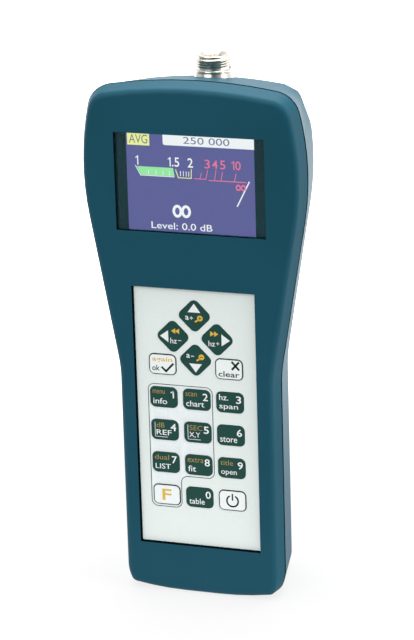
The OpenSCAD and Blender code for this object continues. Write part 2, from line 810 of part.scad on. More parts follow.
module battery_holder() {
    back = cell_depth + 5;
    x = holder_w / 2;
    color("#1d1f21") difference() {
        union() {
            block(-x, x, holder_depth, back, bay_z - holder_wall, holder_top);
            block(-5, 5, holder_depth, holder_depth + 2, bay_z - 12, bay_z);
            block(-5, 5, holder_depth, holder_depth + 2, bay_z + bay_h, bay_z + bay_h + 12);
        }
        for (i = [-1:1])
            translate([i * cell_pitch, front_y + cell_depth, bay_z])
                cylinder(d = cell_d + cell_room, h = bay_h);
        block(-cells_x, cells_x, cell_depth, back + 1, bay_z, bay_z + bay_h);
        for (z = [bay_z, bay_z + bay_h - plate_t - 0.1])
            block(-cells_x, cells_x, cell_depth - plate_reach - 0.1, cell_depth + 1, z, z + plate_t + 0.1);
        for (z = holder_ear_z)
            bar(0, z, 2.2, holder_depth - 1, holder_depth + 3);
    }
}

// Which way up each of the three cells lies
function knob_up(i) = i != 0;

module at_cell(i) {
    translate([i * cell_pitch, front_y + cell_depth, bay_z + bay_h / 2])
        rotate([0, knob_up(i) ? 0 : 180, 0]) children();
}

module battery_cells() {
    top = bay_h / 2 - plate_t;
    color("#3f7d4a") for (i = [-1:1]) at_cell(i) {
        translate([0, 0, top - cell_l]) cylinder(d = cell_d, h = cell_l - 1.2);
        translate([0, 0, top - 1.5]) cylinder(d = 5.5, h = 1.5);
    }
}

// Cone-shaped coil spring at the flat end of each cell, as one unbroken tube
wire_d = 0.8;
spring_turns = 2.5;
spring_steps = 8;
spring_pitch = (spring_h - wire_d) / spring_turns;
spring_taper = 1.8 / spring_turns;
echo(spring_gap = norm([spring_pitch, spring_taper]) - wire_d);

module battery_springs() {
    count = spring_turns * spring_steps;
    path = [for (i = [0:count]) let (a = 360 * i / spring_steps, r = 4.6 - spring_taper * i / spring_steps)
        [r, a, wire_d / 2 + (spring_h - wire_d) * i / count]];
    color("#d2d4d1") for (i = [-1:1]) at_cell(i) translate([0, 0, -bay_h / 2 + plate_t])
        loft([for (p = path)
            [for (j = [0:5]) let (b = -60 * j, rr = p[0] + wire_d / 2 * cos(b))
                [rr * cos(p[1]), rr * sin(p[1]), p[2] + wire_d / 2 * sin(b)]]]);
}

// Contact plates: each end has one wide plate that links two cells and one narrow plate
module battery_plates() {
    color("#d2d4d1") for (e = [0, 1]) {
        z = e == 0 ? bay_z : bay_z + bay_h - plate_t;
        side = e == 0 ? 1 : -1;
        for (part = [[-cell_pitch / 2 + 1, cells_x - 0.2], [0.2 - cells_x, -cell_pitch / 2 - 1]])
            block(min(side * part[0], side * part[1]), max(side * part[0], side * part[1]),
                cell_depth - plate_reach, cell_depth + plate_reach, z, z + plate_t);
    }
}

// Two wires from the battery holder to the main board
module battery_leads() {
    x = cell_pitch + 3;
    depth = holder_depth + 1.5;
    color("#b03a2e") for (s = [-1, 1]) {
        translate([s * x, front_y + depth, holder_top]) cylinder(d = 1.4, h = main_low + 4 - holder_top);
        translate([s * x, front_y + depth, main_low + 4]) sphere(d = 1.4);
        bar(s * x, main_low + 4, 1.4, main_back, depth);
    }
}

// ---- Parts ----

front_shell();
rear_shell();
battery_cover();
case_screws();
display_window();
display_gasket();
lcd_panel();
lcd_backlight();
lcd_frame();
lcd_flex();
display_board();
keypad_overlay();
for (k = KEYS)
    key(k);
snap_domes();
keypad_circuit();
keypad_tail();
main_board();
main_chips();
rf_shield();
board_header();
buzzer();
n_connector_body();
n_connector_insulator();
n_connector_contact();
n_connector_nut();
n_connector_washer();
coax_jumper();
usb_board();
usb_socket();
usb_insert();
usb_ribbon();
battery_holder();
battery_cells();
battery_springs();
battery_plates();
battery_leads();
board_screws();
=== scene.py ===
import math

import bpy
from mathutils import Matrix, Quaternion, Vector


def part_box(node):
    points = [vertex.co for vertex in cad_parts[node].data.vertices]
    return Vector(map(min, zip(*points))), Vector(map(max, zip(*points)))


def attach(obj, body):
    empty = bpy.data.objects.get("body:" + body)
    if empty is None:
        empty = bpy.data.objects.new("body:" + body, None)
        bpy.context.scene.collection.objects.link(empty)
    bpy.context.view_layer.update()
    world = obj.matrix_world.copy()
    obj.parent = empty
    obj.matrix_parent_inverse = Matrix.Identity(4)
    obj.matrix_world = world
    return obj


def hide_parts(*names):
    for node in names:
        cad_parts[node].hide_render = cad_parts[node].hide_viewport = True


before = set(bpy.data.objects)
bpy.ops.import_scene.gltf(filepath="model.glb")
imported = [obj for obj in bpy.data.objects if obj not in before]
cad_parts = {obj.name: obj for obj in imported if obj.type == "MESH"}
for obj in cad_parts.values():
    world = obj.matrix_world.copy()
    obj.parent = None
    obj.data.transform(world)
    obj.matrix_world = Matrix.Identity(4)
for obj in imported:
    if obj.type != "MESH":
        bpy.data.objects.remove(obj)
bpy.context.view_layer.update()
bpy.ops.object.select_all(action="DESELECT")

# ---- Camera ----------------------------------------------------------------------------------
# A long lens a little above the analyzer and to its right, aimed at the upper keypad.
# It was worked out from the regular grid of the keys.
camera_aim = Vector((0.00625, -0.02582, 0.12872))
camera_distance = 1.1983
azimuth, elevation, roll = (math.radians(a) for a in (18.98, 17.80, 1.69))
back_towards_camera = Vector((
    math.sin(azimuth) * math.cos(elevation),
    -math.cos(azimuth) * math.cos(elevation),
    math.sin(elevation)))
bpy.ops.object.camera_add(location=camera_aim + camera_distance * back_towards_camera)
camera = bpy.context.object
camera.name = "camera"
camera.rotation_euler = (
    (-back_towards_camera).to_track_quat("-Z", "Y") @ Quaternion((0, 0, 1), -roll)).to_euler()
camera.data.lens = 156.2
camera.data.sensor_width = 36
camera.data.clip_end = 20
bpy.context.scene.camera = camera
# The plain view shows each material in its own colour.
bpy.context.scene.view_settings.view_transform = "Standard"

# ---- Floor and light -------------------------------------------------------------------------
# An opal acrylic table lit from below, in a studio that is bright behind and beside the
# analyzer and dim in front of it. A lamp on each side lights the face, and one the top edge.


def linear(hex_code):
    """Linear colour of an sRGB hex code such as '#1b4b5c'."""
    parts = [int(hex_code[i:i + 2], 16) / 255 for i in (1, 3, 5)]
    return [c / 12.92 if c <= 0.04045 else ((c + 0.055) / 1.055) ** 2.4 for c in parts] + [1.0]


def blank_material(name, **finish):
    """A material with nodes. The finish gives values for sockets of its Principled shader."""
    material = bpy.data.materials.new(name)
    material.use_nodes = True
    sockets = material.node_tree.nodes["Principled BSDF"].inputs
    for socket, value in finish.items():
        sockets[socket.replace("_", " ")].default_value = value
    return material


def add_node(owner, kind, settings=None, feeds="", **inputs):
    """Adds a shader node with its settings and inputs, which are values, nodes or sockets.

    An input goes by its socket's name, or by i and its number. The first output goes to the
    socket of the Principled shader that feeds names."""
    tree = owner.node_tree
    node = tree.nodes.new("ShaderNode" + kind)
    for name, value in (settings or {}).items():
        setattr(node, name, value)
    for name, value in inputs.items():
        socket = node.inputs[int(name[1:]) if name[1:].isdigit() else name.replace("_", " ")]
        if isinstance(value, bpy.types.Node):
            value = value.outputs[0]
        if isinstance(value, bpy.types.NodeSocket):
            tree.links.new(value, socket)
        else:
            socket.default_value = value
    if feeds:
        tree.links.new(node.outputs[0], tree.nodes["Principled BSDF"].inputs[feeds])
    return node


def colour_stops(ramp, *stops):
    """Sets a colour ramp's stops, each a position and an sRGB hex code."""
    elements = ramp.color_ramp.elements
    while len(elements) < len(stops):
        elements.new(0.5)
    for element, (position, hex_code) in zip(elements, stops):
        element.position, element.color = position, linear(hex_code)


def place_in(owner):
    """The socket with a material's place on its object, in metres."""
    return add_node(owner, "TexCoord").outputs["Object"]


def mottle(owner, scale, *stops, detail=2.0, place=None, feeds="Base Color"):
    """Noise with spots about 1/scale metres wide, which tints a shader's colour if it gets stops."""
    noise = add_node(owner, "TexNoise", Vector=place or place_in(owner), Scale=scale, Detail=detail)
    if stops:
        colour_stops(add_node(owner, "ValToRGB", feeds=feeds, Fac=noise), *stops)
    return noise


bpy.ops.mesh.primitive_plane_add(size=12, location=(0, 2, -0.0002))
floor = bpy.context.object
floor.name = "light_table"
# Frosted opal acrylic with lamps beneath it: matt, evenly bright, with the faintest clouds.
lit_opal = blank_material("lit_opal_table", Roughness=1.0, Specular_IOR_Level=0.0,
                          Base_Color=linear("#5a5a5a"))
mottle(lit_opal, 12.0, (0.3, "#fcfcfc"), (0.7, "#ffffff"), feeds="Emission Color")
# In front of the analyzer the lamps beneath fade out, and behind it they grow brighter.
table_y = add_node(lit_opal, "SeparateXYZ", Vector=place_in(lit_opal)).outputs["Y"]
in_front = add_node(lit_opal, "MapRange", Value=table_y, From_Min=-2.4, From_Max=-2.11,
                    To_Min=0.08, To_Max=0.82)
behind = add_node(lit_opal, "MapRange", Value=table_y, From_Min=-1.88, From_Max=-1.6, To_Max=1.6)
add_node(lit_opal, "Math", {"operation": "ADD"}, feeds="Emission Strength", i0=in_front, i1=behind)
floor.data.materials.append(lit_opal)

world = bpy.data.worlds.new("studio")
world.use_nodes = True
direction = add_node(world, "TexCoord").outputs["Generated"]
studio_y = add_node(world, "SeparateXYZ", Vector=direction).outputs["Y"]
# The studio is dim in front, bright beside the analyzer and brightest behind it.
beside = add_node(world, "MapRange", Value=studio_y, From_Min=-0.95, From_Max=-0.3,
                  To_Min=0.04, To_Max=0.9)
behind = add_node(world, "MapRange", Value=studio_y, To_Max=0.7)
daylight = add_node(world, "Math", {"operation": "ADD"}, i0=beside, i1=behind)
background = world.node_tree.nodes["Background"].inputs
world.node_tree.links.new(daylight.outputs[0], background["Strength"])
background["Color"].default_value = linear("#ffffff")
bpy.context.scene.world = world

lamps_aim = Vector((0, 0, 0.12))
lamp_places = {
    # name: place, width, height, watts
    "lamp_left": ((-0.4, -1.1, 0.78), 0.9, 0.9, 8.2),
    "lamp_right": ((1.5, -0.1, 0.7), 0.8, 1.2, 12.6),
    "lamp_top": ((0.0, 0.3, 1.7), 1.6, 1.2, 38),
}
for name, (place, width, height, watts) in lamp_places.items():
    bpy.ops.object.light_add(type="AREA", location=place)
    lamp = bpy.context.object
    lamp.name = name
    lamp.data.shape = "RECTANGLE"
    lamp.data.size, lamp.data.size_y = width, height
    lamp.data.energy = watts
    lamp.rotation_euler = (lamps_aim - Vector(place)).to_track_quat("-Z", "Y").to_euler()

# ---- Case ------------------------------------------------------------------------------------
# Front and rear shell and the battery cover, moulded in teal ABS with a fine spark-eroded skin.
# The shells meet at a thin parting line, darkened by painted shade, and are held by six screws from the
# back.


def select_only(piece):
    """Selects a piece alone and makes it the active one."""
    bpy.ops.object.select_all(action="DESELECT")
    bpy.context.view_layer.objects.active = piece
    piece.select_set(True)


def round_edges(piece, radius, over):
    """Rounds the edges of the active piece whose faces meet at more than an angle in degrees."""
    bevel = piece.modifiers.new("edges", "BEVEL")
    bevel.width = radius
    bevel.segments = 2
    bevel.limit_method = "ANGLE"
    bevel.angle_limit = math.radians(over)
    bpy.ops.object.modifier_apply(modifier="edges")


def rounded_copy(node, radius, body="case"):
    """Copies a CAD node as one clean mesh with its edges rounded. It then stands for the node."""
    piece = bpy.data.objects.new(node + "_finished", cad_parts[node].data.copy())
    bpy.context.collection.objects.link(piece)
    select_only(piece)
    bpy.ops.object.mode_set(mode="EDIT")
    bpy.ops.mesh.select_all(action="SELECT")
    bpy.ops.mesh.remove_doubles(threshold=2e-6)
    bpy.ops.mesh.dissolve_limited(angle_limit=math.radians(0.3))
    bpy.ops.object.mode_set(mode="OBJECT")
    round_edges(piece, radius, 38)
    bpy.ops.object.shade_smooth_by_angle(angle=math.radians(32))
    weights = piece.modifiers.new("normals", "WEIGHTED_NORMAL")
    weights.keep_sharp = True
    bpy.ops.object.modifier_apply(modifier="normals")
    piece.data.materials.clear()
    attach(piece, body)
    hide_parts(node)
    return piece


# ABS from a spark-eroded mould: satin, with a grain of about 0.4 mm that breaks up the gloss.
teal_abs = blank_material("moulded_teal_abs", IOR=1.5, Specular_IOR_Level=0.17)
mottle(teal_abs, 22.0, (0.3, "#0b4859"), (0.7, "#0e4c5e"))
grain = mottle(teal_abs, 2500.0)
add_node(teal_abs, "Bump", feeds="Normal", Height=grain, Strength=0.12, Distance=0.0001)
add_node(teal_abs, "MapRange", feeds="Roughness", Value=grain, To_Min=0.45, To_Max=0.55)

shell_edge = 0.0003
front, rear, cover = (rounded_copy(node, shell_edge, body) for node, body in (
    ("front_shell", "case"), ("rear_shell", "case"), ("battery_cover", "battery_cover")))
for shell in (front, rear, cover):
    shell.data.materials.append(teal_abs)

# The walls of the two recesses in the face are painted near-black as painted shade, for the shadow that
# falls into them: matt, faintly streaky.
painted_shade = blank_material("painted_shade_matt_black", Specular_IOR_Level=0.0, Roughness=1.0)
mottle(painted_shade, 800.0, (0.3, "#020e11"), (0.7, "#051417"))
for shell in (front, rear):
    shell.data.materials.append(painted_shade)
face_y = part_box("front_shell")[0][1]
for node, margin in (("display_gasket", 0.0), ("keypad_overlay", 0.0006)):
    (left, ledge_y, low), (right, _, high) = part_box(node)
    for face in front.data.polygons:
        x, y, z = face.center
        inside = left - margin < x < right + margin and low - margin < z < high + margin
        if inside and face_y + shell_edge < y < ledge_y + 0.0007 and abs(face.normal.y) < 0.5:
            face.material_index = 1
# So are the lips where the shells meet, 8 mm behind the face: painted shade, which stands for the shadow in
# the parting line's gap.
# The narrow bevel along each lip is first drawn out to a chamfer of about 1 mm.
seam_y = face_y + 0.008
chamfer = 0.0009
for shell, bevel_edge, widening, back_end in ((front, -0.00009, -chamfer, 0.003),
                                              (rear, 0.00044, chamfer, 0.001)):
    for vertex in shell.data.vertices:
        if abs(vertex.co.y - seam_y - bevel_edge) < 0.00002:
            vertex.co.y += widening
    for face in shell.data.polygons:
        if -0.0006 < face.center.y - seam_y < back_end:
            face.material_index = 1

# The upper corners of the rear shell are drawn in by up to 6.4 mm. This grows smoothly outwards
# and upwards, and evenly through the first 22 mm behind the lips.
for vertex in rear.data.vertices:
    x, y, z = vertex.co
    out, up = (abs(x) - 0.03) / 0.02, (z - 0.205) / 0.025
    if out > 0 and up > 0:
        inwards = 0.0064 * min(1.0, (y - seam_y) / 0.022)
        for share in (min(1.0, out), min(1.0, up)):
            inwards *= share * share * (3 - 2 * share)
        vertex.co = x - math.copysign(inwards, x), y, z - inwards

# ---- Case screws -----------------------------------------------------------------------------
# Six pan-head screws of zinc-plated steel with a cross recess, 14 mm down in the rear shell's
# bosses. They pull the rear shell against the posts of the front shell.

# Zinc plate: pale grey and dull, with cloudy patches a few millimetres across.
zinc = blank_material("zinc_plated_steel", Metallic=1.0)
clouds = mottle(zinc, 300.0, (0.35, "#a9abab"), (0.65, "#bfc1c2"), detail=4.0)
add_node(zinc, "MapRange", feeds="Roughness", Value=clouds, To_Min=0.28, To_Max=0.42)

screws = rounded_copy("case_screws", 0.00015)
screws.data.materials.append(zinc)

# ---- Display window and mask -----------------------------------------------------------------
# A 1 mm window of clear cast acrylic glued into the front shell. Behind it lies a foam gasket
# with a dark printed face, which masks the display down to its picture.


def bring_forward(piece, plane_y, by):
    """Moves the faces of a piece that lie in one plane across the depth forwards by a little."""
    select_only(piece)
    for vertex in piece.data.vertices:
        vertex.select = abs(vertex.co.y - plane_y) < 2e-5
    for shape in (piece.data.edges, piece.data.polygons):
        for part in shape:
            part.select = all(piece.data.vertices[i].select for i in part.vertices)
    bpy.ops.object.mode_set(mode="EDIT")
    bpy.ops.transform.translate(value=(0, -by, 0))
    bpy.ops.object.mode_set(mode="OBJECT")


# Cast acrylic with a coating against glare: clear, with faint waves some centimetres across.
acrylic = blank_material("coated_cast_acrylic", Roughness=0.02, IOR=1.3, Transmission_Weight=1.0,
                         Base_Color=linear("#f4fafa"))
waves = mottle(acrylic, 40.0, detail=1.0)
add_node(acrylic, "Bump", feeds="Normal", Height=waves, Strength=0.04, Distance=0.0005)

# The window's back is brought off the mask's face, and its faces are shaded as the flat sheet is.
window = rounded_copy("display_window", 0.0001)
bring_forward(window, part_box("display_window")[1][1], 0.00004)
bpy.ops.mesh.customdata_custom_splitnormals_clear()
bpy.ops.object.shade_flat()
window.data.materials.append(acrylic)

# Dark screen ink on foam: matt, with a slightly uneven skin.
mask_ink = blank_material("dark_printed_foam", Roughness=0.6, Specular_IOR_Level=0.1)
skin = mottle(mask_ink, 900.0, (0.3, "#13454d"), (0.7, "#174b53"))
add_node(mask_ink, "Bump", feeds="Normal", Height=skin, Strength=0.1, Distance=0.0001)
mask = rounded_copy("display_gasket", 0.00004)
mask.data.materials.append(mask_ink)

# ---- Display picture -------------------------------------------------------------------------
# The lit picture of a colour display, 57.6 x 43.2 mm: a field with a slanted scale from 1 to
# infinity, a plain reading and a needle. Each colour is one flat layer just over the panel.

picture_w, picture_h = 57.6, 43.2
panel_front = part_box("lcd_panel")[0][1]
display_z = sum(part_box("display_gasket")[i][2] for i in (0, 1)) / 2 * 1000


def spot(s, t):
    """A place in the picture in mm, as x and z, from its shares across and down."""
    return ((s - 0.5) * picture_w, display_z + (0.5 - t) * picture_h)


def flat_shape(points, y):
    """A flat face through points given as x and z in mm, anticlockwise seen from the front."""
    bpy.ops.object.select_all(action="DESELECT")
    bpy.ops.mesh.primitive_circle_add(vertices=len(points), fill_type="NGON")
    shape = bpy.context.object
    for vertex, (x, z) in zip(shape.data.vertices, points):
        vertex.co = x / 1000, y, z / 1000
    return shape


def stroke(path, width, y):
    """Straight strokes of one width along a path of points in mm. The ends reach out by half the
    width, so that neighbouring strokes meet in a corner."""
    strokes = []
    for (x0, z0), (x1, z1) in zip(path, path[1:]):
        length = math.hypot(x1 - x0, z1 - z0)
        along_x, along_z = (x1 - x0) / length * width / 2, (z1 - z0) / length * width / 2
        strokes.append(flat_shape([
            (x0 - along_x + along_z, z0 - along_z - along_x),
            (x1 + along_x + along_z, z1 + along_z - along_x),
            (x1 + along_x - along_z, z1 + along_z + along_x),
            (x0 - along_x - along_z, z0 - along_z + along_x)], y))
    return strokes


def arc(x, z, radius_x, radius_z, start, end, step):
    """Points on an ellipse about x and z, from one angle in degrees to another."""
    return [(x + radius_x * math.cos(math.radians(a)), z + radius_z * math.sin(math.radians(a)))
            for a in range(start, end, step)]


def words(text, left, low, width, height, y, weight=0.0):
    """Flat letters that fill a box given in mm. A weight makes their strokes bolder."""
    bpy.ops.object.select_all(action="DESELECT")
    bpy.ops.object.text_add()
    letters = bpy.context.object
    letters.data.body = text
    letters.data.offset = weight
    letters.data.resolution_u = 4
    bpy.ops.object.convert(target="MESH")
    letters = bpy.context.object
    across = [v.co.x for v in letters.data.vertices]
    up = [v.co.y for v in letters.data.vertices]
    wide, high = width / (max(across) - min(across)), height / (max(up) - min(up))
    for vertex in letters.data.vertices:
        vertex.co = ((left + (vertex.co.x - min(across)) * wide) / 1000, y,
                     (low + (vertex.co.y - min(up)) * high) / 1000)
    return letters


def figure_one(left, low, width, height, thick, y):
    """The figure 1, an upright with a short flag, in a box given in mm."""
    right = left + width - thick / 2
    return stroke([(right, low + thick / 2), (right, low + height - thick / 2)], thick, y) + stroke(
        [(right, low + height - thick / 2), (left + thick / 2, low + height * 0.78)], thick * 0.8, y)


def one_piece(name, parts, material, body):
    """Joins flat parts into one piece of a material that rides on a body."""
    bpy.ops.object.select_all(action="DESELECT")
    for part in parts:
        part.select_set(True)
    bpy.context.view_layer.objects.active = parts[0]
    if len(parts) > 1:
        bpy.ops.object.join()
    piece = bpy.context.view_layer.objects.active
    piece.name = name
    piece.data.materials.clear()
    piece.data.materials.append(material)
    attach(piece, body)
    return piece


def lit_colour(name, hex_code):
    """One colour of the lit display. Its pixels, 0.18 mm apart, only just show as a weave."""
    material = blank_material(name, Base_Color=linear("#101012"), Roughness=0.35,
                              Specular_IOR_Level=0.2, Emission_Strength=1.0)
    ramp = add_node(material, "ValToRGB", feeds="Emission Color",
                    Fac=mottle(material, 5500.0, detail=0.0)).color_ramp
    for element, strength in zip(ramp.elements, (0.93, 1.04)):
        element.color = [min(1.0, c * strength) for c in linear(hex_code)[:3]] + [1.0]
    return material


lit_violet = lit_colour("lit_violet", "#60629b")
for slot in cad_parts["lcd_panel"].material_slots:
    slot.material = lit_violet
layer = panel_front - 0.00005
over = panel_front - 0.0001
colours = {name: lit_colour(name, hex_code) for name, hex_code in (
    ("lit_yellow", "#f6f79c"), ("lit_white", "#fbfcff"), ("lit_green", "#9eefa8"),
    ("lit_red", "#ec7a9c"), ("lit_dark", "#74759c"))}
parts = {name: [] for name in colours}
# The filled bars, by places across and down: two labels at the top, and the scale's green part.
bars = {
    "lit_yellow": [(0.01, 0.13), (0.185, 0.13), (0.185, 0.0), (0.01, 0.0)],
    "lit_white": [(0.3, 0.115), (1.0, 0.115), (1.0, 0.0), (0.29, 0.0), (0.29, 0.1)],
    "lit_green": [(0.11, 0.43), (0.375, 0.43), (0.365, 0.345), (0.08, 0.345)],
}
for name, places in bars.items():
    parts[name].append(flat_shape([spot(s, t) for s, t in places], layer))


def reading(colour, text, s0, s1, t0, t1, weight):
    """A reading in the picture between two places across and two down."""
    left, high = spot(s0, t0)
    right, low = spot(s1, t1)
    parts[colour].append(words(text, left, low, right - left, high - low, over, weight))


def trace(colour, width, *places):
    """A line in the picture through places given as shares across and down."""
    parts[colour] += stroke([spot(s, t) for s, t in places], width, over)


def one_at(colour, s, t0, t1):
    """The figure 1 in the picture, its left side at a place across, between two places down."""
    left, high = spot(s, t0)
    parts[colour] += figure_one(left, spot(s, t1)[1], 1.35, high - spot(s, t1)[1], 0.5, over)


reading("lit_dark", "250 000", 0.45, 0.81, 0.022, 0.092, 0.0)
reading("lit_dark", "AVG", 0.025, 0.17, 0.02, 0.11, 0.0)
one_at("lit_white", 0.07, 0.235, 0.33)
one_at("lit_white", 0.325, 0.235, 0.33)
reading("lit_white", ".5", 0.358, 0.415, 0.235, 0.33, 0.01)
reading("lit_white", "2", 0.48, 0.522, 0.235, 0.33, 0.01)
for text, s in (("3", 0.612), ("4", 0.672), ("5", 0.732), ("0", 0.851)):
    reading("lit_red", text, s, s + 0.042, 0.24, 0.33, 0.005)
one_at("lit_red", 0.82, 0.24, 0.33)
reading("lit_red", "∞", 0.85, 0.93, 0.475, 0.54, 0.01)
# The large reading is an infinity sign of two upright rings that touch.
for s in (0.3885, 0.4565):
    parts["lit_white"] += stroke(arc(*spot(s, 0.785), 1.6, 2.2, 0, 361, 15), 1.15, over)
reading("lit_white", "Level: 0.0 dB", 0.18, 0.66, 0.905, 0.975, 0.003)
trace("lit_white", 0.32, (0.07, 0.34), (0.108, 0.435), (0.372, 0.435))
for s in (0.17, 0.23, 0.285, 0.335):
    trace("lit_white", 0.25, (s, 0.38), (s, 0.42))
trace("lit_yellow", 0.36, (0.385, 0.36), (0.405, 0.44), (0.505, 0.44), (0.508, 0.35))
for s in (0.422, 0.445, 0.467, 0.487):
    trace("lit_white", 0.3, (s, 0.375), (s, 0.42))
trace("lit_red", 0.36, (0.53, 0.44), (0.62, 0.44), (0.635, 0.35))
trace("lit_red", 0.42, (0.645, 0.45), (0.93, 0.45))
for s, t in ((0.585, 0.385), (0.7, 0.345), (0.75, 0.36), (0.855, 0.37)):
    trace("lit_red", 0.34, (s - 0.012, 0.44), (s, t))
trace("lit_white", 0.55, (0.955, 0.445), (0.86, 0.695))
for name, flats in parts.items():
    one_piece("picture_" + name[4:], flats, colours[name], "case")

# ---- Display module --------------------------------------------------------------------------
# Behind the panel: an opal light box, a folded steel frame, the display board and the flexible
# circuit that curls round the board's lower edge.


def dress(material, *nodes):
    """Gives a material to CAD nodes whose shape is kept as it is."""
    for node in nodes:
        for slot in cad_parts[node].material_slots:
            slot.material = material


# Opal acrylic: milky and satin, faintly cloudy.
opal = blank_material("opal_acrylic", Roughness=0.35, Subsurface_Weight=0.2, Subsurface_Scale=0.002)
mottle(opal, 120.0, (0.3, "#e8eaec"), (0.7, "#f3f4f5"))
dress(opal, "lcd_backlight")

# Tin-plated sheet steel: silvery, with fine rolling lines along the sheet.
tin_plate = blank_material("tin_plated_sheet_steel", Metallic=1.0)
rolling = add_node(tin_plate, "Mapping", Vector=place_in(tin_plate), Scale=(4000.0, 4000.0, 90.0))
lines = mottle(tin_plate, 1.0, (0.3, "#bfc3c4"), (0.7, "#cfd2d3"), place=rolling)
add_node(tin_plate, "MapRange", feeds="Roughness", Value=lines, To_Min=0.22, To_Max=0.38)
dress(tin_plate, "lcd_frame", "rf_shield")


def stripes_across(owner, spacing, *stops):
    """Tints a shader in stripes that lie a spacing apart across X. Gives 0 to 1 over each half."""
    across = add_node(owner, "SeparateXYZ", Vector=place_in(owner)).outputs["X"]
    there_and_back = add_node(owner, "Math", {"operation": "PINGPONG"}, i0=across, i1=spacing / 2)
    share = add_node(owner, "Math", {"operation": "DIVIDE"}, i0=there_and_back, i1=spacing / 2)
    colour_stops(add_node(owner, "ValToRGB", feeds="Base Color", Fac=share), *stops)
    return share


# Polyimide film: glossy amber over copper tracks 0.5 mm apart, which run along the film.
amber_film = blank_material("polyimide_film", Roughness=0.25, IOR=1.6)
stripes_across(amber_film, 0.0005, (0.4, "#a5661f"), (0.6, "#c98b3f"))
dress(amber_film, "lcd_flex", "keypad_tail")

# Glass-fibre board with green solder mask: glossy, with paler tracks and pads a millimetre wide.
green_board = blank_material("solder_masked_board", Roughness=0.3, IOR=1.5, Coat_Weight=0.3,
                             Coat_Roughness=0.1)
upright = add_node(green_board, "Mapping", Vector=place_in(green_board),
                   Rotation=(math.radians(90), 0, 0))
runs = add_node(green_board, "TexBrick", {"offset": 0.5}, feeds="Base Color", Vector=upright,
                Scale=420.0, Mortar_Size=0.03, Color1=linear("#1d6440"),
                Color2=linear("#216e47"), Mortar=linear("#2f8a5b"))
add_node(green_board, "Bump", feeds="Normal", Height=runs.outputs["Fac"], Strength=0.2, Distance=0.00005)
dress(green_board, "display_board", "keypad_circuit", "main_board", "usb_board")

# ---- Keypad sheet ----------------------------------------------------------------------------
# A pale polyester sheet, printed and die-cut round the keys, glued into a shallow recess. A
# thin dark line runs round the keys that have two functions, and the print inside it is whiter.

# Polyester with a fine texture: matt, with a very slight sparkle from grains of 0.3 mm.
polyester = blank_material("textured_polyester_sheet", IOR=1.5, Specular_IOR_Level=0.3)
grain = mottle(polyester, 3300.0, (0.3, "#e6efec"), (0.7, "#ecf5f2"))
add_node(polyester, "Bump", feeds="Normal", Height=grain, Strength=0.1, Distance=0.00008)
add_node(polyester, "MapRange", feeds="Roughness", Value=grain, To_Min=0.5, To_Max=0.6)

sheet = rounded_copy("keypad_overlay", 0.00006)
sheet.data.materials.append(polyester)

# The line's outline steps round the 0 key, and its corners are round. A block of the same
# outline then cuts the whiter print out of a copy of the sheet, so that it has the keys' holes.
ink_t = 0.00002
sheet_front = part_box("keypad_overlay")[0][1]
group_outline = flat_shape(
    [(-22.6, 39.6), (-8.2, 39.6), (-8.2, 54.7), (7.3, 54.7), (7.3, 97.3), (-22.6, 97.3)],
    sheet_front - 2 * ink_t)
bpy.ops.object.mode_set(mode="EDIT")
bpy.ops.mesh.bevel(offset=0.003, segments=8, affect="VERTICES")
bpy.ops.object.mode_set(mode="OBJECT")
bpy.ops.object.duplicate()
group_block = bpy.context.object
bpy.ops.object.mode_set(mode="EDIT")
bpy.ops.mesh.extrude_region_move(TRANSFORM_OT_translate={"value": (0, 0.0001, 0)})
bpy.ops.mesh.select_all(action="SELECT")
bpy.ops.mesh.normals_make_consistent(inside=False)
bpy.ops.object.mode_set(mode="OBJECT")


def white_print_paint(name, hex_a, hex_b):
    """White screen ink on the sheet or on a key: even and matt, faintly mottled."""
    material = blank_material(name, Roughness=0.55, Specular_IOR_Level=0.3)
    mottle(material, 700.0, (0.3, hex_a), (0.7, hex_b))
    return material


white_print = white_print_paint("white_screen_print", "#eaf1f2", "#eff6f7")
white_area = bpy.data.objects.new("white_area", sheet.data.copy())
bpy.context.collection.objects.link(white_area)
select_only(white_area)
bpy.ops.object.mode_set(mode="EDIT")
bpy.ops.mesh.select_all(action="SELECT")
bpy.ops.transform.translate(value=(0, -ink_t, 0))
bpy.ops.object.mode_set(mode="OBJECT")
cut = white_area.modifiers.new("inside the line", "BOOLEAN")
cut.operation = "INTERSECT"
cut.solver = "EXACT"
cut.object = group_block
bpy.ops.object.modifier_apply(modifier="inside the line")
bpy.data.objects.remove(group_block)
white_area.data.materials.clear()
white_area.data.materials.append(white_print)
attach(white_area, "case")


def screen_ink(name, hex_code):
    """A screen ink: a thin satin film whose colour varies a little from spot to spot."""
    material = blank_material(name, Roughness=0.5, Specular_IOR_Level=0.3)
    ramp = add_node(material, "ValToRGB", feeds="Base Color", Fac=mottle(material, 1200.0)).color_ramp
    ramp.elements[0].color = [c * 0.94 for c in linear(hex_code)[:3]] + [1.0]
    ramp.elements[1].color = linear(hex_code)
    return material


inks = {"dark": screen_ink("dark_ink", "#1c2f2d"), "white": screen_ink("white_ink", "#f4f7f6"),
        "orange": screen_ink("orange_ink", "#e6ba44"), "ochre": screen_ink("ochre_ink", "#a8924e")}


def border_line(face, width):
    """Narrows a flat face down to a line of a width along its border."""
    select_only(face)
    bpy.ops.object.mode_set(mode="EDIT")
    bpy.ops.mesh.select_all(action="SELECT")
    bpy.ops.mesh.inset(thickness=width, depth=0)
    bpy.ops.mesh.delete(type="FACE")
    bpy.ops.object.mode_set(mode="OBJECT")
    return face


border_line(group_outline, 0.00033)
one_piece("keypad_line", [group_outline], inks["dark"], "case")

# ---- Keys ------------------------------------------------------------------------------------
# 18 hard caps in printed polycarbonate, each on its own stem over a snap dome: fourteen green
# ones with white, ochre and orange signs, and four white ones whose rim is printed dark.

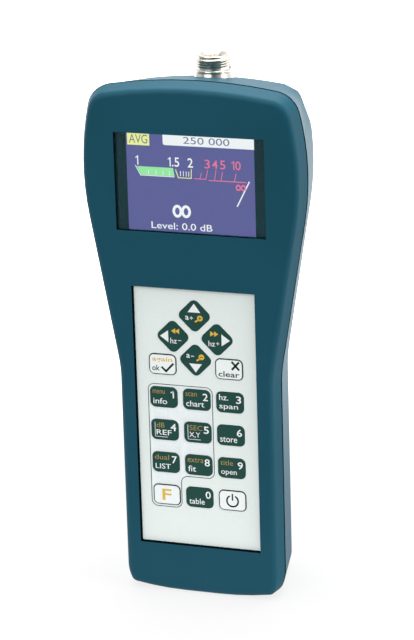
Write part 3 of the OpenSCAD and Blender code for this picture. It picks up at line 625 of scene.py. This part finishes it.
# Green print under a fine matt texture of 0.3 mm.
green_cap = blank_material("green_printed_polycarbonate", IOR=1.58, Specular_IOR_Level=0.15)
grain = mottle(green_cap, 3300.0, (0.3, "#18443d"), (0.7, "#1c4942"))
add_node(green_cap, "Bump", feeds="Normal", Height=grain, Strength=0.12, Distance=0.00008)
add_node(green_cap, "MapRange", feeds="Roughness", Value=grain, To_Min=0.42, To_Max=0.55)
white_cap = white_print_paint("white_printed_polycarbonate", "#eff6f5", "#f5fbfa")

white_keys = ("key_ok", "key_cancel", "key_f", "key_power")
# The signs of each key: ink, text, left, low, width and height in mm from the key's middle.
key_words = {
    "key_1": [("ochre", "menu", -5.1, 1.5, 5.6, 1.7), ("white", "info", -4.9, -3.2, 6.4, 2.7),
              ("white", "1", 3.2, -0.2, 1.6, 3.4)],
    "key_2": [("ochre", "scan", -5.1, 1.5, 5.2, 1.7), ("white", "chart", -4.9, -3.2, 8.3, 2.7),
              ("white", "2", 2.8, -0.2, 2.4, 3.4)],
    "key_3": [("white", "hz.", -4.9, 0.9, 4.2, 2.7), ("white", "span", -4.9, -3.7, 8.6, 2.4),
              ("white", "3", 2.8, -0.2, 2.4, 3.4)],
    "key_4": [("ochre", "dB", -3.7, 1.0, 3.6, 2.3), ("white", "REF", -3.9, -2.4, 7.0, 2.4),
              ("white", "4", 2.7, -0.2, 2.6, 3.4)],
    "key_5": [("ochre", "SEC", -3.7, 1.0, 5.9, 2.3), ("white", "X,Y", -3.9, -2.6, 5.0, 2.7),
              ("white", "5", 2.8, -0.2, 2.4, 3.4)],
    "key_6": [("white", "store", -4.9, -3.2, 7.8, 2.4), ("white", "6", 2.8, -0.2, 2.4, 3.4)],
    "key_7": [("ochre", "dual", -5.1, 1.2, 6.6, 2.3), ("white", "LIST", -4.9, -3.1, 7.1, 2.4),
              ("white", "7", 2.8, -0.2, 2.4, 3.4)],
    "key_8": [("ochre", "extra", -5.1, 1.2, 7.4, 2.1), ("white", "fit", -4.9, -3.2, 3.6, 2.8),
              ("white", "8", 2.8, -0.2, 2.4, 3.4)],
    "key_9": [("ochre", "title", -5.1, 1.2, 5.8, 2.4), ("white", "open", -4.9, -3.7, 7.2, 2.4),
              ("white", "9", 2.8, -0.2, 2.4, 3.4)],
    "key_0": [("white", "table", -4.9, -3.2, 7.2, 2.7), ("white", "0", 2.8, -0.2, 2.4, 3.4)],
    "key_ok": [("orange", "again", -4.8, 0.7, 9.4, 2.5), ("dark", "ok", -4.9, -3.1, 3.5, 2.6)],
    "key_cancel": [("dark", "clear", -4.9, -3.5, 9.6, 2.5)],
    "key_f": [("orange", "F", -2.2, -2.7, 4.3, 5.3)],
    "key_up": [("white", "a", -4.1, -1.9, 1.6, 1.8)],
    "key_down": [("white", "a", -4.1, 0.9, 1.6, 1.8)],
    "key_left": [("white", "hz", -1.2, -3.1, 3.0, 2.5)],
    "key_right": [("white", "hz", -3.9, -3.1, 3.0, 2.5)],
}


def arrow(x, z, reach, spread, turn):
    """An arrow head with its tip at x and z. Turn 0 points right, 90 up."""
    c, s = math.cos(math.radians(turn)), math.sin(math.radians(turn))
    return [(x + dx * c - dz * s, z + dx * s + dz * c)
            for dx, dz in ((0, 0), (-reach, spread / 2), (-reach, -spread / 2))]


def loupe(x, z):
    """A magnifying glass as filled shapes and strokes: its lens and its handle."""
    return [arc(x, z, 1.3, 1.3, 0, 360, 15)], [([(x - 1.1, z - 1.0), (x - 2.0, z - 1.6)], 0.7)]


def at(strokes, x, z):
    """The same strokes, moved."""
    return [([(px + x, pz + z) for px, pz in path], width) for path, width in strokes]


plus = [([(-0.6, 0), (0.6, 0)], 0.3), ([(0, -0.6), (0, 0.6)], 0.3)]
minus = plus[:1]
half_frame = [([(-4.5, 3.3), (-4.5, -3.3), (1.2, -3.3)], 0.22)]
cross = [([(1.6, 0.3), (4.3, 3.3)], 0.95), ([(1.6, 3.3), (4.3, 0.3)], 0.95)]
# The power sign is a ring that is open at the top, with an upright stroke in the gap.
power = [([(2.6 * math.sin(math.radians(a)), -0.2 - 2.6 * math.cos(math.radians(a)))
           for a in range(-145, 146, 10)], 0.68), ([(0, 0.4), (0, 2.9)], 0.68)]
# Shapes of each key by ink: filled shapes, and strokes with their width.
key_shapes = {
    "key_up": {"white": ([arrow(0, 5.6, 4.0, 5.8, 90)], at(plus, -1.3, -1.0)),
               "orange": loupe(2.6, -0.9)},
    "key_down": {"white": ([arrow(0, -5.6, 4.0, 5.8, 270)], at(minus, -1.3, 1.8)),
                 "orange": loupe(2.8, 1.6)},
    "key_left": {"white": ([arrow(-5.9, 0, 3.8, 5.4, 180)], at(minus, 3.1, -1.6)),
                 "orange": ([arrow(-0.7, 2.6, 1.9, 2.5, 180), arrow(1.1, 2.6, 1.9, 2.5, 180)], [])},
    "key_right": {"white": ([arrow(5.9, 0, 3.8, 5.4, 0)], at(plus, 0.3, -1.7)),
                  "orange": ([arrow(-1.1, 2.6, 1.9, 2.5, 0), arrow(0.7, 2.6, 1.9, 2.5, 0)], [])},
    "key_ok": {"dark": ([], [([(-0.2, -1.5), (1.5, -3.1), (4.7, 0.3)], 0.95)])},
    "key_cancel": {"dark": ([], cross)},
    "key_4": {"white": ([], half_frame)},
    "key_5": {"white": ([], half_frame)},
    "key_power": {"dark": ([], power)},
}
signs_in_lens = {"key_up": at(plus, 2.6, -0.9), "key_down": at(minus, 2.8, 1.6)}


def boldness(text, ink, on_white):
    """The weight of a printed text: most for figures and on white, least for the ochre words."""
    if len(text) == 1:
        return 0.012
    if ink == "ochre":
        return -0.002
    return 0.013 if on_white else 0.004


def signs(key, middle_x, middle_z, y):
    """The flat signs of a key by ink."""
    flats = {ink: [] for ink in inks}
    for ink, text, left, low, width, height in key_words.get(key, []):
        if text == "1":
            flats[ink] += figure_one(middle_x + left, middle_z + low, width, height, 0.62, y)
            continue
        flats[ink].append(words(text, middle_x + left, middle_z + low, width, height, y,
                                boldness(text, ink, key in white_keys)))
    for ink, (shapes, strokes) in key_shapes.get(key, {}).items():
        for shape in shapes:
            flats[ink].append(flat_shape([(middle_x + x, middle_z + z) for x, z in shape], y))
        for path, width in at(strokes, middle_x, middle_z):
            flats[ink] += stroke(path, width, y)
    for path, width in at(signs_in_lens.get(key, []), middle_x, middle_z):
        flats["dark"] += stroke(path, width, y - ink_t / 2)
    return flats


def printed_rim(cap, front_y):
    """Prints the sides of a cap dark, and gives the dark line along the border of its face."""
    select_only(cap)
    for shape in (cap.data.vertices, cap.data.edges):
        for part in shape:
            part.select = False
    for face in cap.data.polygons:
        face.select = face.normal.y < -0.999 and abs(face.center.y - front_y) < 1e-5
    bpy.ops.object.mode_set(mode="EDIT")
    bpy.ops.mesh.duplicate()
    bpy.ops.transform.translate(value=(0, -ink_t, 0))
    bpy.ops.mesh.separate(type="SELECTED")
    bpy.ops.object.mode_set(mode="OBJECT")
    line = [piece for piece in bpy.context.selected_objects if piece != cap][0]
    cap.data.materials.append(inks["dark"])
    for face in cap.data.polygons:
        face.material_index = 0 if face.normal.y < -0.999 else 1
    return border_line(line, 0.00016)


# The cap above a key's foot is 1.1 mm high. It grows by 0.18 mm a side, which leaves 0.12 mm to
# the edge of its hole in the sheet.
cap_h, growth = 0.0011, 0.00036
for key in [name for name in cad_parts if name.startswith("key_")]:
    low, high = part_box(key)
    middle_x, middle_z = ((low[i] + high[i]) / 2 for i in (0, 2))
    is_white = key in white_keys
    cap = rounded_copy(key, 0.00022 if is_white else 0.00014, key)
    cap.data.materials.append(white_cap if is_white else green_cap)
    wider, taller = (1 + growth / (high[i] - low[i]) for i in (0, 2))
    for vertex in cap.data.vertices:
        if vertex.co.y < low[1] + cap_h:
            vertex.co.x = middle_x + (vertex.co.x - middle_x) * wider
            vertex.co.z = middle_z + (vertex.co.z - middle_z) * taller
    flats = signs(key, middle_x * 1000, middle_z * 1000, low[1] - ink_t)
    if is_white:
        flats["dark"].append(printed_rim(cap, low[1]))
    for ink, flat in flats.items():
        if flat:
            one_piece(key + "_" + ink, flat, inks[ink], key)

# ---- Keypad switches -------------------------------------------------------------------------
# Under each key a snap dome of sprung stainless steel, held on a plain circuit board. An amber
# ribbon joins that board to the display board.

# Rolled stainless steel: bright, with soft blurred reflections.
spring_strip = blank_material("rolled_spring_steel", Metallic=1.0)
cloud = mottle(spring_strip, 600.0, (0.3, "#c6c9c7"), (0.7, "#d3d5d3"))
add_node(spring_strip, "MapRange", feeds="Roughness", Value=cloud, To_Min=0.2, To_Max=0.3)
dress(spring_strip, "snap_domes", "battery_plates")

# ---- Main board ------------------------------------------------------------------------------
# A board of chips and capacitors behind the display, screwed to four bosses of the rear shell.
# A tin-plated can screens its radio part, and a pin header joins it to the display board.

# Moulded epoxy of chips, header and buzzer: dull black with a fine grain of 0.2 mm.
epoxy = blank_material("moulded_black_epoxy", IOR=1.55, Specular_IOR_Level=0.4)
grain = mottle(epoxy, 5000.0, (0.3, "#191b1d"), (0.7, "#242628"), detail=1.0)
add_node(epoxy, "MapRange", feeds="Roughness", Value=grain, To_Min=0.5, To_Max=0.65)
dress(epoxy, "main_chips", "board_header", "buzzer")

# ---- Antenna connector -----------------------------------------------------------------------
# A bulkhead socket of turned brass, nickel plated, with a coupling thread. It sits in the top
# edge with a nut and a washer inside, and a stiff copper-jacketed cable goes to the board.

# Bright nickel: slightly warm. Fine rings from turning, 0.1 mm apart, spread its gloss upwards.
nickel = blank_material("bright_nickel_plate", Metallic=1.0, Anisotropic=0.3)
add_node(nickel, "Tangent", {"direction_type": "RADIAL", "axis": "Z"}, feeds="Tangent")
turned_place = add_node(nickel, "Mapping", Vector=place_in(nickel), Scale=(30.0, 30.0, 9000.0))
rings = mottle(nickel, 1.0, (0.3, "#c3beb3"), (0.7, "#d0ccc3"), detail=1.0, place=turned_place)
add_node(nickel, "MapRange", feeds="Roughness", Value=rings, To_Min=0.16, To_Max=0.26)
dress(nickel, "n_connector_nut", "n_connector_washer")

# The barrel reaches 1 mm higher than the CAD solid. Its flange rests 12.4 mm below that solid's
# top, and the thread has 24 turns to the inch. Lengths are in mm.
(low_x, low_y, _), (high_x, high_y, high_z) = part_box("n_connector_body")
axis_x, axis_y = (low_x + high_x) / 2, (low_y + high_y) / 2
end_z = high_z * 1000 + 1.0
land_z = high_z * 1000 - 12.4
pitch, thread_turns = 1.058, 4.4
thread_low = land_z + 7.3
thread_r, root_r = 7.9375, 7.34
foot_z, bore_r, throat_r = land_z - 12.5, 4.0, 4.35


def turned(name, profile):
    """Turns a closed profile of radius and height in mm about the connector's axis."""
    bpy.ops.object.select_all(action="DESELECT")
    bpy.ops.mesh.primitive_circle_add(vertices=96, radius=profile[0][0] / 1000,
                                      location=(axis_x, axis_y, profile[0][1] / 1000))
    piece = bpy.context.object
    piece.name = name
    bpy.ops.object.transform_apply(location=True, rotation=True, scale=True)
    bpy.ops.object.mode_set(mode="EDIT")
    bpy.ops.mesh.select_all(action="SELECT")
    for (r0, z0), (r1, z1) in zip(profile, profile[1:] + profile[:1]):
        bpy.ops.mesh.extrude_region_move(TRANSFORM_OT_translate={"value": (0, 0, (z1 - z0) / 1000)})
        bpy.ops.transform.resize(value=(r1 / r0, r1 / r0, 1), center_override=(axis_x, axis_y, z1 / 1000))
    bpy.ops.mesh.select_all(action="SELECT")
    bpy.ops.mesh.remove_doubles(threshold=1e-6)
    bpy.ops.mesh.normals_make_consistent(inside=False)
    bpy.ops.object.mode_set(mode="OBJECT")
    return piece


barrel = turned("n_connector_barrel", [
    # the shank in the case and the flange
    (7.0, foot_z), (7.0, land_z), (8.9875, land_z), (8.9875, land_z + 1.9),
    (9.3, land_z + 2.1), (9.3, land_z + 2.9), (9.15, land_z + 3.05),
    # the tapered neck, the groove, the collar and the root of the thread
    (8.3, land_z + 3.05), (8.05, land_z + 5.7), (7.6, land_z + 5.8), (7.6, land_z + 6.1),
    (7.95, land_z + 6.2), (7.85, thread_low - 0.4), (root_r, thread_low),
    # the mouth and the bore
    (root_r, end_z - 0.3), (root_r - 0.3, end_z), (6.05, end_z), (throat_r, end_z - 1.5),
    (throat_r, land_z + 1.5), (bore_r, land_z + 1.5), (bore_r, foot_z)])
round_edges(barrel, 0.0001, 30)

# The thread is one ridge that winds round the barrel.
bpy.ops.object.select_all(action="DESELECT")
bpy.ops.mesh.primitive_circle_add(vertices=4, fill_type="NOTHING", location=(axis_x, axis_y, 0))
ridge = bpy.context.object
foot_r = root_r - 0.1
for vertex, (r, z) in zip(ridge.data.vertices, [
        (foot_r, 0.0), (thread_r, 0.4), (thread_r, 0.55), (foot_r, 0.95)]):
    vertex.co = r / 1000, 0, (thread_low + z) / 1000
winding = ridge.modifiers.new("winding", "SCREW")
winding.axis = "Z"
winding.iterations = 1
winding.angle = math.radians(360 * thread_turns)
winding.screw_offset = pitch * thread_turns / 1000
winding.steps = winding.render_steps = 320
winding.use_smooth_shade = False
bpy.ops.object.modifier_apply(modifier="winding")
bpy.ops.object.transform_apply(location=True, rotation=True, scale=True)
bpy.ops.object.mode_set(mode="EDIT")
bpy.ops.mesh.select_all(action="SELECT")
bpy.ops.mesh.fill_holes(sides=4)
bpy.ops.mesh.normals_make_consistent(inside=False)
bpy.ops.object.mode_set(mode="OBJECT")
barrel.select_set(True)
bpy.context.view_layer.objects.active = barrel
bpy.ops.object.join()
bpy.ops.object.shade_smooth_by_angle(angle=math.radians(28))
barrel.data.materials.clear()
barrel.data.materials.append(nickel)
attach(barrel, "case")
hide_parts("n_connector_body")

# PTFE: waxy white and slightly see-through.
ptfe = blank_material("turned_ptfe", Roughness=0.4, IOR=1.35, Subsurface_Weight=0.15,
                      Subsurface_Scale=0.001)
mottle(ptfe, 400.0, (0.3, "#ecece6"), (0.7, "#f6f6f1"))
dress(ptfe, "n_connector_insulator")

# Gold plate on the contact: warm and bright.
gold = blank_material("gold_plate", Metallic=1.0)
cloud = mottle(gold, 900.0, (0.3, "#cda94e"), (0.7, "#dcb962"))
add_node(gold, "MapRange", feeds="Roughness", Value=cloud, To_Min=0.15, To_Max=0.25)
dress(gold, "n_connector_contact")

# Drawn copper jacket: bright copper with a few browner patches.
copper = blank_material("drawn_copper_jacket", Metallic=1.0)
patches = mottle(copper, 200.0, (0.4, "#8f5a34"), (0.65, "#b87a4a"), detail=4.0)
add_node(copper, "MapRange", feeds="Roughness", Value=patches, To_Min=0.25, To_Max=0.4)
dress(copper, "coax_jumper")

# ---- USB inlet -------------------------------------------------------------------------------
# A tin-plated steel socket with a white nylon tongue, on a small board of its own at the bottom
# end. A grey flat cable runs past the batteries to the main board.

dress(tin_plate, "usb_socket")

# Moulded nylon: off-white and satin, with a faint flow pattern some millimetres long.
nylon = blank_material("moulded_white_nylon", Roughness=0.4, IOR=1.53)
mottle(nylon, 350.0, (0.3, "#e6e6df"), (0.7, "#f0f0ea"))
dress(nylon, "usb_insert")

# Grey PVC flat cable: satin, with a groove every 0.6 mm between its wires.
flat_cable = blank_material("grey_pvc_flat_cable", Roughness=0.5)
wires = stripes_across(flat_cable, 0.0006, (0.1, "#9a9da0"), (0.5, "#c8cbcd"))
add_node(flat_cable, "Bump", feeds="Normal", Height=wires, Strength=0.6, Distance=0.0001)
dress(flat_cable, "usb_ribbon")

# ---- Batteries -------------------------------------------------------------------------------
# Three AA cells in shrink sleeves lie side by side in a black ABS holder behind the keypad.
# Sprung plates link them, each flat end rests on a cone-shaped coil spring, and two wires leave.

# Black ABS holder: satin, with a moulded grain of 0.4 mm.
black_abs = blank_material("moulded_black_abs", IOR=1.5, Specular_IOR_Level=0.4)
grain = mottle(black_abs, 2500.0, (0.3, "#17191b"), (0.7, "#202224"))
add_node(black_abs, "Bump", feeds="Normal", Height=grain, Strength=0.15, Distance=0.0001)
add_node(black_abs, "MapRange", feeds="Roughness", Value=grain, To_Min=0.4, To_Max=0.5)
holder = rounded_copy("battery_holder", 0.0002)
holder.data.materials.append(black_abs)

# Shrink sleeve: glossy green film that leaves the last 2.2 mm at each end bare steel.
sleeve = blank_material("green_shrink_sleeve", IOR=1.5)
cell_low, cell_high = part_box("battery_cells")
height = add_node(sleeve, "SeparateXYZ", Vector=place_in(sleeve)).outputs["Z"]
above_middle = add_node(sleeve, "Math", {"operation": "SUBTRACT"}, i0=height,
                        i1=(cell_low[2] + cell_high[2]) / 2)
from_middle = add_node(sleeve, "Math", {"operation": "ABSOLUTE"}, i0=above_middle)
bare = add_node(sleeve, "Math", {"operation": "GREATER_THAN"}, i0=from_middle,
                i1=(cell_high[2] - cell_low[2]) / 2 - 0.0022)
colour_stops(add_node(sleeve, "ValToRGB", feeds="Base Color", Fac=bare), (0.4, "#2f6b3c"), (0.6, "#c4c6c4"))
add_node(sleeve, "MapRange", feeds="Metallic", Value=bare)
add_node(sleeve, "MapRange", feeds="Roughness", Value=mottle(sleeve, 250.0), To_Min=0.2, To_Max=0.32)
cells = rounded_copy("battery_cells", 0.0004)
cells.data.materials.append(sleeve)

# Each spring is 0.8 mm wire, wound two and a half times while its radius shrinks. The middle
# one stands on its head, as its cell does. These sizes are in mm, and the places in m.
wire_d, turns, wide_r, narrow_r, spring_h = 0.8, 2.5, 4.6, 2.8, 4.7
spring_low, spring_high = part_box("battery_springs")
cell_r = 0.00725
cell_y = (cell_low[1] + cell_high[1]) / 2
cell_pitch = (cell_high[0] - cell_low[0]) / 2 - cell_r
windings = []
for place, upside_down in ((-1, False), (0, True), (1, False)):
    wire = bpy.data.curves.new("battery_spring", "CURVE")
    wire.dimensions = "3D"
    wire.bevel_depth = wire_d / 2000
    wire.bevel_resolution = 3
    wire.use_fill_caps = True
    line = wire.splines.new("POLY")
    steps = 60
    line.points.add(steps)
    for i, point in enumerate(line.points):
        angle = 2 * math.pi * turns * i / steps
        r = (wide_r + (narrow_r - wide_r) * i / steps) / 1000
        rise = (wire_d / 2 + (spring_h - wire_d) * i / steps) / 1000
        x, y = r * math.cos(angle), r * math.sin(angle)
        if upside_down:
            point.co = place * cell_pitch - x, cell_y + y, spring_high[2] - rise, 1
        else:
            point.co = place * cell_pitch + x, cell_y + y, spring_low[2] + rise, 1
    coil = bpy.data.objects.new("battery_spring", wire)
    bpy.context.collection.objects.link(coil)
    select_only(coil)
    bpy.ops.object.convert(target="MESH")
    windings.append(bpy.context.object)
springs = one_piece("battery_spring_coils", windings, spring_strip, "case")
bpy.ops.object.shade_smooth_by_angle(angle=math.radians(50))
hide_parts("battery_springs")

# PVC insulation: one wire red and the other black, both glossy.
insulation = blank_material("pvc_wire_insulation", Roughness=0.35)
side = add_node(insulation, "SeparateXYZ", Vector=place_in(insulation)).outputs["X"]
is_right = add_node(insulation, "Math", {"operation": "GREATER_THAN"}, i0=side, i1=0.0)
colour_stops(add_node(insulation, "ValToRGB", feeds="Base Color", Fac=is_right),
             (0.4, "#1b1c1d"), (0.6, "#b03024"))
dress(insulation, "battery_leads")

# ---- Board screws ----------------------------------------------------------------------------
# Sixteen small pan-head screws of zinc-plated steel. Eight hold the keypad and display boards in
# the front shell, and eight the main board, the USB board and the battery holder in the rear one.

dress(zinc, "board_screws")
